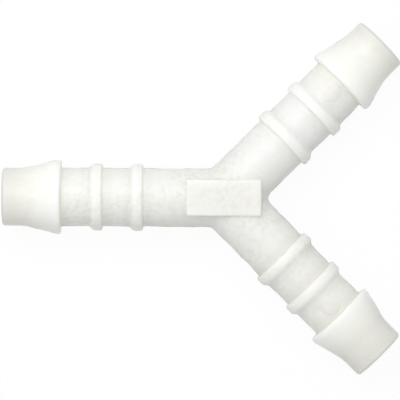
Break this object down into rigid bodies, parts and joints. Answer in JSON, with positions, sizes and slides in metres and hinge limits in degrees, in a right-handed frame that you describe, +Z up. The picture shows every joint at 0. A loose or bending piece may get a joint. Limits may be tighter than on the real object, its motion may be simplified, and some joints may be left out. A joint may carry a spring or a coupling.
{
  "type": "tubing y connector",
  "caption": "Barbed Y fitting that joins flexible hoses: round hollow arms, each with a conical barb and low stop rings, and a bare raised plate over the junction.",
  "frame": {"origin": "bottom centre of the part's box: under the middle of the outline, on the surface that the three barb rims rest on; the junction of the arm axes is 3.16 mm towards +X and 5.05 mm up", "axes": "+X from the stem's tip towards the gap between the branches, +Y towards one branch, +Z up out of the raised plate; all arm axes lie in one level plane"},
  "size_m": [0.0548, 0.0486, 0.0101],
  "materials": {
    "natural_plastic": "satin, milky and slightly translucent, unpigmented"
  },
  "bodies": {
    "root": {"connector_body": "natural_plastic"}
  },
  "joints": []
}
